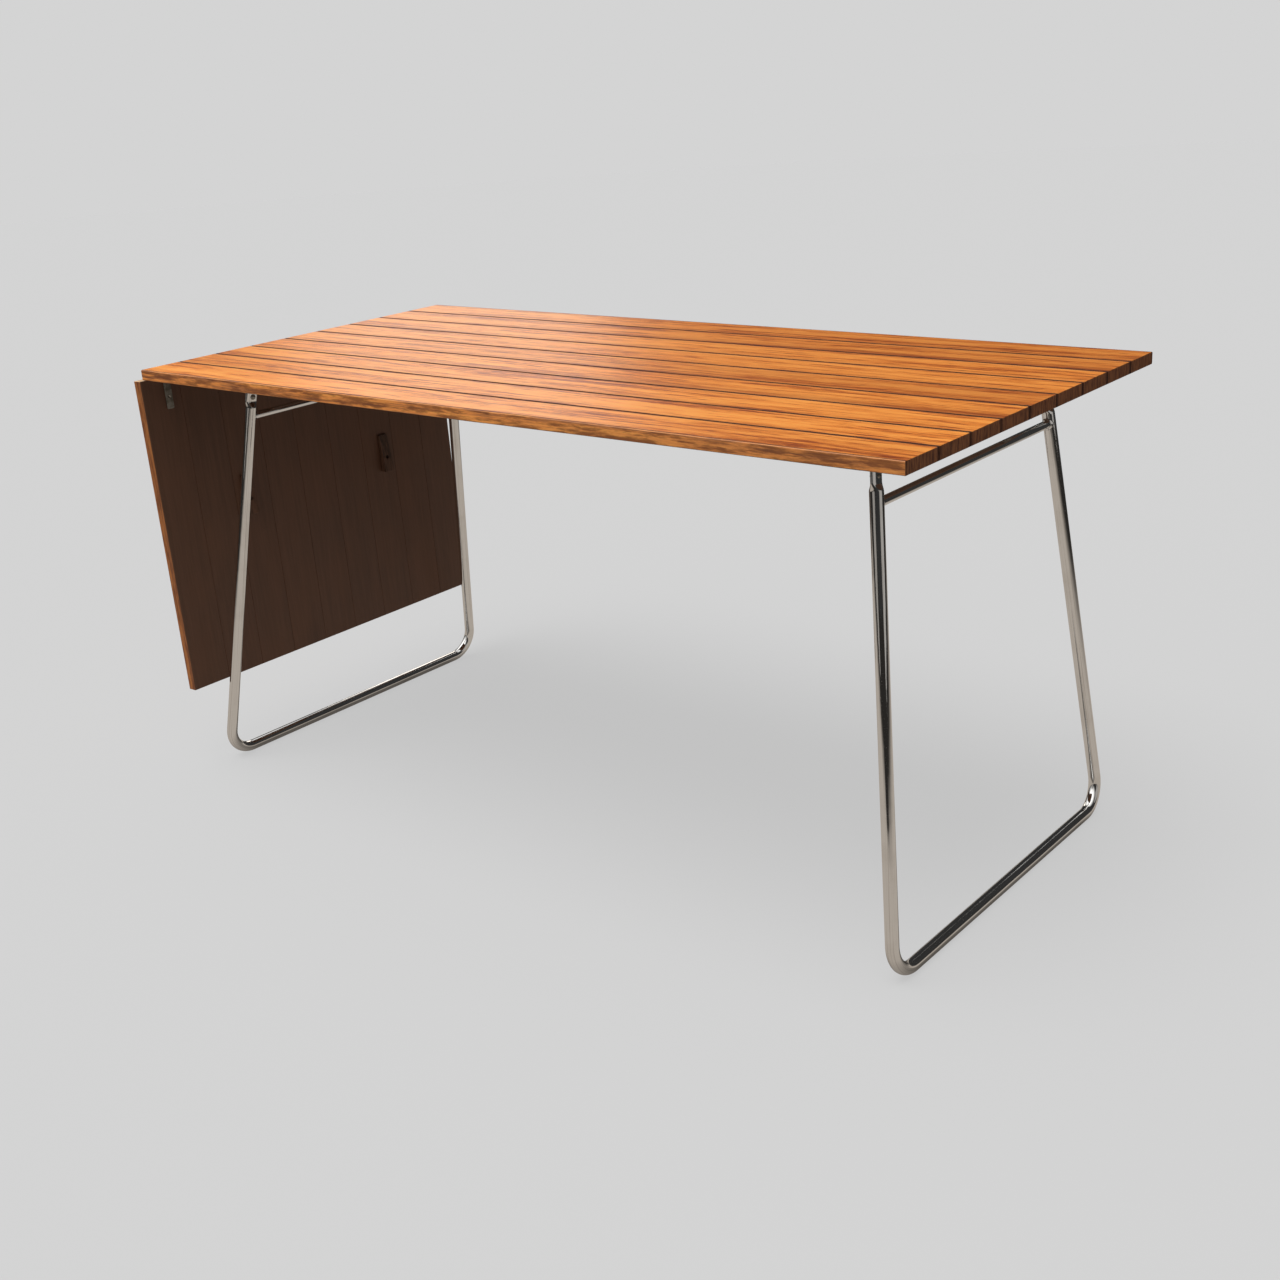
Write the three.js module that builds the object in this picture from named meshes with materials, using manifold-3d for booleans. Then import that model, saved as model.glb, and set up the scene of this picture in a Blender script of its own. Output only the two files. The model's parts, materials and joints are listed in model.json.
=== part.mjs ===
// A drop leaf table: a top of nine solid wood staves on two bent tube leg frames, with one leaf
// of the same staves hinged to one end. Millimetres, +Z up, the leaf at -X, the floor at Z = 0.
import * as THREE from "three";
import { mergeVertices } from "three/addons/utils/BufferGeometryUtils.js";
import Module from "manifold-3d";

// ---- Driving dimensions ----
// Top and leaf
const TOP_LENGTH = 1484;
const TOP_WIDTH = 700;
const TOP_HEIGHT = 730;
const BOARD_THICK = 18;
const LEAF_LENGTH = 566;
const STAVE_COUNT = 9;
const STAVE_JOINT = 0.4; // open line between two staves
const STAVE_ARRIS = 1; // chamfer on each long edge
// Cross battens under the top
const BATTEN_THICK = 12;
const BATTEN_WIDTH = 60;
const BATTEN_EDGE_INSET = 40; // batten end to the long edge of the top
const BATTEN_ARRIS = 3;
// Leg frames: one tube each, down, across the floor and up again
const TUBE_DIA = 19;
const TUBE_WALL = 1.5;
const BEND_RADIUS = 45; // to the tube's centre line
const FOOT_EDGE_INSET = 34; // leg centre at the floor to the long edge of the top
const HEAD_EDGE_INSET = 119; // leg centre at the underside of the top to the long edge
const LEAF_FRAME_FOOT_INSET = 28; // floor bar of the leaf end frame to the end of the top
const LEAF_FRAME_HEAD_INSET = 146;
const FAR_FRAME_FOOT_INSET = 44;
const FAR_FRAME_HEAD_INSET = 113;
const FLAT_THICK = 9; // the pressed tube end, across the frame
const FLAT_SPREAD = 5; // what the press adds to its width
const FLAT_LENGTH = 29;
const FLAT_TAPER = 12; // from the pressed section back to the round one
const CROSSBAR_DIA = 12.5;
const CROSSBAR_DROP = 73.5; // its centre line below the underside of the top
// Leg plates: a plate under the batten with a tongue inside the pressed tube end
const PLATE_THICK = 3;
const PLATE_LENGTH = 56;
const PLATE_WIDTH = 30;
const PLATE_CORNER = 4;
const PLATE_SCREW_SPACING = 40;
const TONGUE_END_INSET = 1.5; // tongue end to the lower end of the pressed length
const LEG_SCREW_DROP = 22; // screw below the tube's end
// Strap hinges
const HINGE_EDGE_INSET = 51.5; // hinge centre to the long edge of the top
const KNUCKLE_DROP = 1.5; // barrel below the underside of the top
const PIN_OUT = 3.5; // pin outside the end of the top
const PIN_DIA = 4;
const KNUCKLE_DIA = 8;
const STRAP_THICK = 2;
const STRAP_WIDTH = 14;
const STRAP_LENGTH = 54; // from the pin
const STRAP_CHAMFER = 0.7;
const STRAP_SCREW_REACH = 33; // screw from the pin
const LEAF_GAP = 1; // between the top and the raised leaf
const LEAF_LEAN = 1; // degrees that the hanging leaf leans in
// Pull-out support bars, their rails, and the ramps that they lift the leaf by
const BAR_WIDTH = 22;
const BAR_HEIGHT = 24;
const BAR_ARRIS = 1.5;
const BAR_END_INSET = 42; // stowed bar to the end of the top
const BAR_TAIL_GAP = 70; // its tail to the middle batten
const BAR_HEAD_INSET = 63; // bar centre inboard of the leg's head
const BAR_STOP_LENGTH = 24;
const FINGER_GROOVE = { radius: 12, depth: 4, inset: 24 };
const RAIL_THICK = 30;
const RAIL_FLOOR = 6; // wood under a bar
const RAIL_CHEEK = 20; // wood beside a bar
const RAIL_ARRIS = 1.5;
const FRONT_RAIL_INSET = 52; // rail centre to the end of the top
const REAR_RAIL_INSET = 292;
const RAMP_THIN = 4;
const RAMP_LENGTH = 73;
const RAMP_WIDTH = 21;
const RAMP_REACH = 205; // thin end from the leaf's hinged edge
const RAMP_SCREW_REACH = 44; // screw from the thin end
// Screws
const WOOD_SCREW = { head: 3.6, shank: 1.75, length: 11 };
const LEG_SCREW = { head: 4.8, shank: 2.5, headHeight: 3 };
// Clearances
const SEAT_GAP = 0.3; // between pieces that touch
const HOLE_GAP = 0.3; // round a shank or a pin
const BAR_PLAY = 0.5; // round a sliding bar
const BATTEN_PLAY = 1.7; // between a bar and the batten that it passes under
const KNUCKLE_PLAY = 0.3;
const TONGUE_PLAY = 0.5;
const LEG_END_GAP = 2; // lets a slanting tube end clear its plate
// Facets
const TUBE_SIDES = 16;
const ROD_SIDES = 16;
const BEND_STEPS = 8;
const TAPER_STEPS = 4;
const DOME_STEPS = 3;

// ---- Sizes worked out from those ----
const UNDERSIDE = TOP_HEIGHT - BOARD_THICK;
const TOP_END = TOP_LENGTH / 2;
const TOP_EDGE = TOP_WIDTH / 2;
const STAVE_PITCH = (TOP_WIDTH + STAVE_JOINT) / STAVE_COUNT;
const STAVE_WIDTH = STAVE_PITCH - STAVE_JOINT;
const TUBE_R = TUBE_DIA / 2;
const FLAT_WIDE = TUBE_DIA + FLAT_SPREAD;
const FOOT_Y = TOP_EDGE - FOOT_EDGE_INSET;
const HEAD_Y = TOP_EDGE - HEAD_EDGE_INSET;
const BATTEN_BOTTOM = UNDERSIDE - SEAT_GAP - BATTEN_THICK;
const PLATE_BOTTOM = BATTEN_BOTTOM - SEAT_GAP - PLATE_THICK;
const BAR_Y = HEAD_Y - BAR_HEAD_INSET;
const BAR_LENGTH = TOP_END - BAR_END_INSET - BATTEN_WIDTH / 2 - BAR_TAIL_GAP;
const BAR_TOP = BATTEN_BOTTOM - BATTEN_PLAY;
const RAMP_THICK = UNDERSIDE - BAR_TOP; // the bar's top then holds the leaf level
const BAR_BOTTOM = BAR_TOP - BAR_HEIGHT;
const RAIL_BOTTOM = BAR_BOTTOM - BAR_PLAY - RAIL_FLOOR;
const HINGE_Y = TOP_EDGE - HINGE_EDGE_INSET;
const PIN_DROP = KNUCKLE_DIA / 2 + KNUCKLE_DROP; // pin below the underside of the top
const PIN_X = -TOP_END - PIN_OUT;
const PIN_Z = UNDERSIDE - PIN_DROP;
const LEAF_EDGE = PIN_OUT - LEAF_GAP; // the raised leaf's hinged edge from the pin
const SIDES = [
  ["near", -1],
  ["far", 1],
];

// ---- Finishes ----
const finish = (color, roughness, metalness) =>
  new THREE.MeshStandardMaterial({ color, roughness, metalness });
const OILED_WOOD = finish(0xb5652b, 0.4, 0);
const DARK_WOOD = finish(0x5a3524, 0.6, 0);
const CHROME = finish(0xc8c9cb, 0.12, 1);
const STEEL = finish(0x8f8d88, 0.35, 1);

// ---- Geometry helpers ----
const X = new THREE.Vector3(1, 0, 0);
const Y = new THREE.Vector3(0, 1, 0);
const Z = new THREE.Vector3(0, 0, 1);
const ALONG_X = new THREE.Matrix4().makeBasis(Y, Z, X);
const ALONG_Y = new THREE.Matrix4().makeBasis(X, Z, Y.clone().negate());

const wasm = await Module();
wasm.setup();

function solidOf(geometry) {
  const bare = geometry.clone();
  bare.deleteAttribute("normal");
  bare.deleteAttribute("uv");
  const merged = mergeVertices(bare, 1e-4);
  return new wasm.Manifold(
    new wasm.Mesh({
      numProp: 3,
      vertProperties: merged.attributes.position.array,
      triVerts: new Uint32Array(merged.index.array),
    }),
  );
}

function geometryOf(solid) {
  const mesh = solid.getMesh();
  return new THREE.BufferGeometry()
    .setAttribute("position", new THREE.BufferAttribute(mesh.vertProperties, 3))
    .setIndex(new THREE.BufferAttribute(mesh.triVerts, 1));
}

const cut = (geometry, tools) =>
  geometryOf(tools.reduce((body, tool) => body.subtract(solidOf(tool)), solidOf(geometry)));
const join = (geometry, others) =>
  geometryOf(others.reduce((body, other) => body.add(solidOf(other)), solidOf(geometry)));

function outline(points) {
  return new THREE.Shape(points.map(([u, v]) => new THREE.Vector2(u, v)));
}

// A rectangle centred on its own middle, with its corners cut off by one size.
function chamferedRectangle(width, height, chamfer) {
  const [w, h] = [width / 2, height / 2];
  return outline([
    [-w + chamfer, -h],
    [w - chamfer, -h],
    [w, -h + chamfer],
    [w, h - chamfer],
    [w - chamfer, h],
    [-w + chamfer, h],
    [-w, h - chamfer],
    [-w, -h + chamfer],
  ]);
}

// A section drawn in (y, z) and drawn out along x, or in (x, z) and drawn out along y,
// centred on the middle of its length.
function extruded(shape, length, direction) {
  return new THREE.ExtrudeGeometry(shape, { depth: length, bevelEnabled: false })
    .translate(0, 0, -length / 2)
    .applyMatrix4(direction);
}

const box = (x, y, z) => new THREE.BoxGeometry(x, y, z);
const rodAlongY = (radius, length) =>
  new THREE.CylinderGeometry(radius, radius, length, ROD_SIDES);
const rodAlongX = (radius, length) => rodAlongY(radius, length).rotateZ(Math.PI / 2);
const rodAlongZ = (radius, length) => rodAlongY(radius, length).rotateX(Math.PI / 2);

// A countersunk wood screw that points up: its flat head is at the origin.
function woodScrew() {
  const { head, shank, length } = WOOD_SCREW;
  const profile = [
    [0, 0],
    [head, 0],
    [shank, head - shank],
    [shank, length - shank],
    [0, length],
  ].map(([r, h]) => new THREE.Vector2(r, h));
  return new THREE.LatheGeometry(profile, ROD_SIDES).rotateX(Math.PI / 2);
}

// The hole that such a screw needs: its cone in the metal or wood, its shank beyond.
function woodScrewHole(entry) {
  const { head, shank, length } = WOOD_SCREW;
  const [wide, narrow] = [head + HOLE_GAP, shank + HOLE_GAP];
  const profile = [
    [0, -entry],
    [wide, -entry],
    [wide, 0],
    [narrow, wide - narrow],
    [narrow, length + HOLE_GAP],
    [0, length + HOLE_GAP],
  ].map(([r, h]) => new THREE.Vector2(r, h));
  return new THREE.LatheGeometry(profile, ROD_SIDES).rotateX(Math.PI / 2);
}

const table = new THREE.Group();
const leaf = new THREE.Group();

function piece(parent, name, geometry, material, x = 0, y = 0, z = 0) {
  const mesh = new THREE.Mesh(geometry, material);
  mesh.name = name;
  mesh.position.set(x, y, z);
  parent.add(mesh);
  return mesh;
}

// ---- Screw places, shared by the pieces that they join ----
const strapScrewX = PIN_X + STRAP_SCREW_REACH;
const strapScrewZ = UNDERSIDE - SEAT_GAP - STRAP_THICK;
const leafStrapScrewZ = PIN_DROP - SEAT_GAP - STRAP_THICK;
const rampThinX = LEAF_EDGE - RAMP_REACH;
const rampScrewX = rampThinX - RAMP_SCREW_REACH;
const rampScrewZ = PIN_DROP - SEAT_GAP - RAMP_THIN;

const tableScrewHoles = SIDES.map(([, side]) => [strapScrewX, side * HINGE_Y, strapScrewZ]);
const leafScrewHoles = SIDES.flatMap(([, side]) => [
  [-STRAP_SCREW_REACH, side * HINGE_Y, leafStrapScrewZ],
  [rampScrewX, side * BAR_Y, rampScrewZ],
]);

// ---- Staves ----
// Each stave is drilled for the screws that touch its width.
function stave(length, centreX, centreY, bottom, holes) {
  const section = chamferedRectangle(STAVE_WIDTH, BOARD_THICK, STAVE_ARRIS);
  const blank = extruded(section, length, ALONG_X).translate(
    centreX,
    centreY,
    bottom + BOARD_THICK / 2,
  );
  const reach = STAVE_PITCH / 2 + WOOD_SCREW.head + HOLE_GAP;
  const own = holes.filter(([, y]) => Math.abs(y - centreY) < reach);
  const tools = own.map(([x, y, z]) => woodScrewHole(0).translate(x, y, z));
  return tools.length ? cut(blank, tools) : blank;
}

for (let i = 0; i < STAVE_COUNT; i++) {
  const y = (i - (STAVE_COUNT - 1) / 2) * STAVE_PITCH;
  const topStave = stave(TOP_LENGTH, 0, y, UNDERSIDE, tableScrewHoles);
  const leafCentre = LEAF_EDGE - LEAF_LENGTH / 2;
  const leafStave = stave(LEAF_LENGTH, leafCentre, y, PIN_DROP, leafScrewHoles);
  piece(table, `top_stave_${i + 1}`, topStave, OILED_WOOD);
  piece(leaf, `leaf_stave_${i + 1}`, leafStave, OILED_WOOD);
}

// ---- Leg frames ----
// The centre line of a tube: its stations are the ends of the straight runs, the steps of
// the pressed ends and equal steps round each bend.
class TubeLine extends THREE.Curve {
  constructor(stations) {
    super();
    this.stations = stations;
  }
  getPoint(t) {
    return this.stations[Math.round(t * (this.stations.length - 1))].clone();
  }
  getPointAt(t) {
    return this.getPoint(t);
  }
  getTangentAt(t) {
    const i = Math.round(t * (this.stations.length - 1));
    const before = this.stations[Math.max(i - 1, 0)];
    const after = this.stations[Math.min(i + 1, this.stations.length - 1)];
    const here = this.stations[i];
    const into = here.clone().sub(before).normalize();
    const out = after.clone().sub(here).normalize();
    return into.add(out).normalize();
  }
}

// Each frame is drawn flat in its own upright plane, with the floor bar's centre line
// through the origin, and then raked about that line.
const FRAMES = [
  {
    end: "leaf_end",
    side: -1,
    foot: TOP_END - LEAF_FRAME_FOOT_INSET,
    head: TOP_END - LEAF_FRAME_HEAD_INSET,
  },
  {
    end: "far_end",
    side: 1,
    foot: TOP_END - FAR_FRAME_FOOT_INSET,
    head: TOP_END - FAR_FRAME_HEAD_INSET,
  },
];

for (const frame of FRAMES) {
  const rake = Math.atan2(frame.foot - frame.head, UNDERSIDE - TUBE_R);
  const planeHeight = (z) => (z - TUBE_R) / Math.cos(rake);
  const rise = planeHeight(UNDERSIDE);
  const slant = Math.atan2(FOOT_Y - HEAD_Y, rise);
  const up = new THREE.Vector3(0, -Math.sin(slant), Math.cos(slant)); // along the leg at +Y
  const outward = new THREE.Vector3(0, Math.cos(slant), Math.sin(slant));
  const foot = new THREE.Vector3(0, FOOT_Y, 0);
  const onLeg = (z) => foot.clone().addScaledVector(up, planeHeight(z) / Math.cos(slant));
  const mirrored = (p) => new THREE.Vector3(p.x, -p.y, p.z);

  const legEnd = onLeg(PLATE_BOTTOM - LEG_END_GAP);
  const down = (distance) => legEnd.clone().addScaledVector(up, -distance);
  const corner = Math.PI / 2 + slant; // how far the tube turns at each bend
  const bendStart = BEND_RADIUS * Math.tan(corner / 2);
  const bendCentre = new THREE.Vector3(0, FOOT_Y - bendStart, BEND_RADIUS);
  const leg = [legEnd, down(FLAT_LENGTH)];
  for (let i = 1; i <= TAPER_STEPS; i++) {
    leg.push(down(FLAT_LENGTH + (FLAT_TAPER * i) / TAPER_STEPS));
  }
  for (let i = 0; i <= BEND_STEPS; i++) {
    const angle = slant - (corner * i) / BEND_STEPS;
    leg.push(
      bendCentre
        .clone()
        .add(new THREE.Vector3(0, Math.cos(angle), Math.sin(angle)).multiplyScalar(BEND_RADIUS)),
    );
  }
  const stations = [...leg, ...leg.map(mirrored).reverse()];

  const ring = new THREE.Shape().absarc(0, 0, TUBE_R, 0, 2 * Math.PI);
  ring.holes.push(new THREE.Path().absarc(0, 0, TUBE_R - TUBE_WALL, 0, 2 * Math.PI, true));
  const tube = new THREE.ExtrudeGeometry(ring, {
    steps: stations.length - 1,
    curveSegments: TUBE_SIDES / 2,
    extrudePath: new TubeLine(stations),
  });

  // The press: the round section becomes a flat oval one with the same wall.
  const spot = tube.attributes.position;
  const flatTop = legEnd.clone().sub(foot).dot(up);
  for (let i = 0; i < spot.count; i++) {
    const p = new THREE.Vector3().fromBufferAttribute(spot, i);
    const side = Math.sign(p.y) || 1;
    const q = new THREE.Vector3(p.x, p.y * side, p.z).sub(foot);
    const below = flatTop - q.dot(up);
    const round = THREE.MathUtils.smoothstep(below, FLAT_LENGTH, FLAT_LENGTH + FLAT_TAPER);
    if (round === 1) continue;
    const across = q.dot(outward);
    const radius = Math.hypot(q.x, across);
    const inset = TUBE_R - radius;
    const thin = THREE.MathUtils.lerp((FLAT_THICK / 2 - inset) / radius, 1, round);
    const wide = THREE.MathUtils.lerp((FLAT_WIDE / 2 - inset) / radius, 1, round);
    q.addScaledVector(outward, across * (wide - 1)).add(foot);
    spot.setXYZ(i, p.x * thin, q.y * side, q.z);
  }

  const legScrewHoles = [];
  const tongueTilt = [];
  for (const [, side] of SIDES) {
    const at = down(LEG_SCREW_DROP);
    legScrewHoles.push(new THREE.Vector3(0, at.y * side, at.z));
    tongueTilt.push(side * slant);
  }
  const screwHole = (at) =>
    rodAlongX(LEG_SCREW.shank + HOLE_GAP, 2 * TUBE_DIA).translate(at.x, at.y, at.z);
  const drilled = cut(tube, legScrewHoles.map(screwHole));

  const crossbarZ = planeHeight(UNDERSIDE - CROSSBAR_DROP);
  const legAtBar = onLeg(UNDERSIDE - CROSSBAR_DROP);
  const legClearance = SIDES.map(([, side]) =>
    rodAlongZ(TUBE_R + SEAT_GAP, 6 * TUBE_DIA)
      .rotateX(side * slant)
      .translate(0, side * legAtBar.y, legAtBar.z),
  );
  const barBlank = rodAlongY(CROSSBAR_DIA / 2, 2 * legAtBar.y).translate(0, 0, crossbarZ);
  const coped = solidOf(cut(barBlank, legClearance)).decompose();
  const crossbar = coped.reduce((a, b) => (a.volume() > b.volume() ? a : b));

  const stand = new THREE.Group();
  stand.rotation.y = -frame.side * rake;
  stand.position.set(frame.side * frame.foot, 0, 0);
  stand.updateMatrix();
  const lowest = drilled.clone().applyMatrix4(stand.matrix);
  lowest.computeBoundingBox();
  stand.position.z = -lowest.boundingBox.min.z;
  stand.updateMatrix();
  table.add(stand);
  piece(stand, `leg_frame_${frame.end}`, drilled, CHROME);
  piece(stand, `crossbar_${frame.end}`, geometryOf(crossbar), CHROME);

  // ---- Leg plates, the screws up into the batten and the screw through each tube end ----
  SIDES.forEach(([sideName, side], i) => {
    const label = `${frame.end}_${sideName}`;
    const screwAt = legScrewHoles[i];
    const inPlate = 2 * (LEG_END_GAP + PLATE_THICK);
    const inTube = FLAT_LENGTH - TONGUE_END_INSET;
    const tongueMiddle = down((inTube - inPlate) / 2);
    const tonguePlay = TUBE_WALL + TONGUE_PLAY;
    const tongue = rodAlongZ(1, inPlate + inTube)
      .scale(FLAT_THICK / 2 - tonguePlay, FLAT_WIDE / 2 - tonguePlay, 1)
      .rotateX(tongueTilt[i])
      .translate(0, side * tongueMiddle.y, tongueMiddle.z)
      .applyMatrix4(stand.matrix);
    const plateX = frame.side * frame.head;
    const plateY = side * HEAD_Y;
    const plateTop = PLATE_BOTTOM + PLATE_THICK;
    const plate = extruded(
      chamferedRectangle(PLATE_LENGTH, PLATE_WIDTH, PLATE_CORNER),
      PLATE_THICK,
      new THREE.Matrix4(),
    ).translate(plateX, plateY, PLATE_BOTTOM + PLATE_THICK / 2);
    const screwXs = [-1, 1].map((s) => plateX + (s * PLATE_SCREW_SPACING) / 2);
    const screwHoles = screwXs.map((x) =>
      woodScrewHole(PLATE_THICK).translate(x, plateY, PLATE_BOTTOM),
    );
    const above = box(2 * PLATE_LENGTH, 2 * PLATE_WIDTH, inPlate).translate(
      plateX,
      plateY,
      plateTop + inPlate / 2,
    );
    const throughHole = screwHole(screwAt).applyMatrix4(stand.matrix);
    const bracket = cut(join(plate, [tongue]), [above, throughHole, ...screwHoles]);
    piece(table, `leg_plate_${label}`, bracket, STEEL);
    screwXs.forEach((x, k) => {
      const name = `plate_screw_${label}_${k + 1}`;
      piece(table, name, woodScrew(), STEEL, x, plateY, PLATE_BOTTOM);
    });

    const reach = FLAT_THICK + LEG_SCREW.headHeight / 2;
    const domed = [
      [0, -reach],
      [LEG_SCREW.shank, -reach],
      [LEG_SCREW.shank, 0],
    ];
    for (let k = 0; k < DOME_STEPS; k++) {
      const angle = (k / DOME_STEPS) * (Math.PI / 2);
      domed.push([LEG_SCREW.head * Math.cos(angle), LEG_SCREW.headHeight * Math.sin(angle)]);
    }
    domed.push([0, LEG_SCREW.headHeight]);
    const profile = domed.map(([r, h]) => new THREE.Vector2(r, h));
    const legScrew = new THREE.LatheGeometry(profile, ROD_SIDES)
      .rotateZ((frame.side * Math.PI) / 2)
      .translate(-frame.side * (FLAT_THICK / 2 + SEAT_GAP), 0, 0);
    piece(stand, `leg_screw_${label}`, legScrew, STEEL, screwAt.x, screwAt.y, screwAt.z);
  });
}

// ---- Cross battens: one over each frame and one at the middle ----
const battenPlaces = [
  ["leaf_end", -FRAMES[0].head],
  ["middle", 0],
  ["far_end", FRAMES[1].head],
];
for (const [place, x] of battenPlaces) {
  const [w, t, a] = [BATTEN_WIDTH / 2, BATTEN_THICK / 2, BATTEN_ARRIS];
  const section = outline([
    [-w + a, -t],
    [w - a, -t],
    [w, -t + a],
    [w, t],
    [-w, t],
    [-w, -t + a],
  ]);
  const length = TOP_WIDTH - 2 * BATTEN_EDGE_INSET;
  const blank = extruded(section, length, ALONG_Y).translate(x, 0, BATTEN_BOTTOM + t);
  const holes = [];
  if (place !== "middle") {
    for (const [, side] of SIDES) {
      for (const s of [-1, 1]) {
        const at = x + (s * PLATE_SCREW_SPACING) / 2;
        holes.push(woodScrewHole(0).translate(at, side * HEAD_Y, PLATE_BOTTOM));
      }
    }
  }
  piece(table, `batten_${place}`, holes.length ? cut(blank, holes) : blank, DARK_WOOD);
}

// ---- Strap hinges ----
// A strap drawn out from the pin at the origin towards +X, its flat back up against the wood.
// Its barrel is cut away between each pair of Y values, for the other strap's knuckles.
function strap(openings) {
  const top = PIN_DROP - SEAT_GAP;
  const section = outline([
    [-STRAP_WIDTH / 2 + STRAP_CHAMFER, top - STRAP_THICK],
    [STRAP_WIDTH / 2 - STRAP_CHAMFER, top - STRAP_THICK],
    [STRAP_WIDTH / 2, top - STRAP_THICK + STRAP_CHAMFER],
    [STRAP_WIDTH / 2, top],
    [-STRAP_WIDTH / 2, top],
    [-STRAP_WIDTH / 2, top - STRAP_THICK + STRAP_CHAMFER],
  ]);
  const blank = extruded(section, STRAP_LENGTH, ALONG_X).translate(STRAP_LENGTH / 2, 0, 0);
  const barrel = rodAlongY(KNUCKLE_DIA / 2, STRAP_WIDTH);
  const bore = rodAlongY(PIN_DIA / 2 + HOLE_GAP, 2 * STRAP_WIDTH);
  const reach = KNUCKLE_DIA / 2 + KNUCKLE_PLAY;
  const gaps = openings.map(([from, to]) =>
    box(2 * reach, to - from, 4 * reach).translate(0, (from + to) / 2, 0),
  );
  const hole = woodScrewHole(STRAP_THICK).translate(STRAP_SCREW_REACH, 0, top - STRAP_THICK);
  return cut(join(blank, [barrel]), [bore, hole, ...gaps]);
}

// The top's strap has the middle knuckle, a third of the width, and the leaf's the other two.
const knuckleHalf = STRAP_WIDTH / 6;
const besideMiddle = [
  [-STRAP_WIDTH, -knuckleHalf],
  [knuckleHalf, STRAP_WIDTH],
];
const roundMiddle = [[-knuckleHalf - KNUCKLE_PLAY, knuckleHalf + KNUCKLE_PLAY]];
for (const [sideName, side] of SIDES) {
  const y = side * HINGE_Y;
  piece(table, `table_strap_${sideName}`, strap(besideMiddle), STEEL, PIN_X, y, PIN_Z);
  piece(table, `hinge_pin_${sideName}`, rodAlongY(PIN_DIA / 2, STRAP_WIDTH), STEEL, PIN_X, y, PIN_Z);
  piece(table, `table_strap_screw_${sideName}`, woodScrew(), STEEL, strapScrewX, y, strapScrewZ);
  const leafStrap = strap(roundMiddle).rotateZ(Math.PI);
  piece(leaf, `leaf_strap_${sideName}`, leafStrap, STEEL, 0, y, 0);
  const screwName = `leaf_strap_screw_${sideName}`;
  piece(leaf, screwName, woodScrew(), STEEL, -STRAP_SCREW_REACH, y, leafStrapScrewZ);
}

// ---- Ramps on the leaf, which the support bars run under ----
for (const [sideName, side] of SIDES) {
  const top = PIN_DROP - SEAT_GAP;
  const section = outline([
    [rampThinX, top],
    [rampThinX - RAMP_LENGTH, top],
    [rampThinX - RAMP_LENGTH, top - RAMP_THICK],
    [rampThinX, top - RAMP_THIN],
  ]);
  const block = extruded(section, RAMP_WIDTH, ALONG_Y);
  const hole = woodScrewHole(RAMP_THICK).translate(rampScrewX, 0, rampScrewZ);
  piece(leaf, `ramp_${sideName}`, cut(block, [hole]), DARK_WOOD, 0, side * BAR_Y, 0);
  const screwY = side * BAR_Y;
  piece(leaf, `ramp_screw_${sideName}`, woodScrew(), STEEL, rampScrewX, screwY, rampScrewZ);
}

// ---- Support bars and the two rails that they slide through ----
const barStart = -TOP_END + BAR_END_INSET;
for (const [sideName, side] of SIDES) {
  const section = chamferedRectangle(BAR_WIDTH, BAR_HEIGHT, BAR_ARRIS);
  const stopHeight = BAR_HEIGHT / 2 + UNDERSIDE - BAR_PLAY - BAR_TOP;
  const stop = box(BAR_STOP_LENGTH, BAR_WIDTH - 2 * BAR_ARRIS, stopHeight).translate(
    (BAR_LENGTH - BAR_STOP_LENGTH) / 2,
    0,
    stopHeight / 2,
  );
  const { radius, depth, inset } = FINGER_GROOVE;
  const fingerGroove = rodAlongY(radius, 2 * BAR_WIDTH).translate(
    -BAR_LENGTH / 2 + inset,
    0,
    -BAR_HEIGHT / 2 - radius + depth,
  );
  const bar = cut(join(extruded(section, BAR_LENGTH, ALONG_X), [stop]), [fingerGroove]);
  const x = barStart + BAR_LENGTH / 2;
  const z = BAR_BOTTOM + BAR_HEIGHT / 2;
  piece(table, `support_bar_${sideName}`, bar, DARK_WOOD, x, side * BAR_Y, z);
}

const railPlaces = [
  ["front", FRONT_RAIL_INSET],
  ["rear", REAR_RAIL_INSET],
];
for (const [place, inset] of railPlaces) {
  const height = UNDERSIDE - SEAT_GAP - RAIL_BOTTOM;
  const length = 2 * (BAR_Y + BAR_WIDTH / 2 + BAR_PLAY + RAIL_CHEEK);
  const section = chamferedRectangle(RAIL_THICK, height, RAIL_ARRIS);
  const blank = extruded(section, length, ALONG_Y).translate(0, 0, RAIL_BOTTOM + height / 2);
  const mortises = SIDES.map(([, side]) =>
    box(2 * RAIL_THICK, BAR_WIDTH + 2 * BAR_PLAY, BAR_HEIGHT + 2 * BAR_PLAY).translate(
      0,
      side * BAR_Y,
      BAR_BOTTOM + BAR_HEIGHT / 2,
    ),
  );
  piece(table, `${place}_rail`, cut(blank, mortises), DARK_WOOD, -TOP_END + inset, 0, 0);
}

// ---- Assembly ----
// The leaf is drawn raised, level with the top, and then hangs from its pins.
leaf.position.set(PIN_X, 0, PIN_Z);
leaf.rotation.y = -THREE.MathUtils.degToRad(90 + LEAF_LEAN);
table.add(leaf);

// The origin is on the floor under the middle of the whole length, hanging leaf included.
table.updateMatrixWorld(true);
const extent = new THREE.Box3().setFromObject(table, true);
table.position.x = -(extent.min.x + extent.max.x) / 2;

export default table;
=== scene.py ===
import json
import math
import random

import bmesh
import bpy
from mathutils import Matrix, Vector


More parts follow.
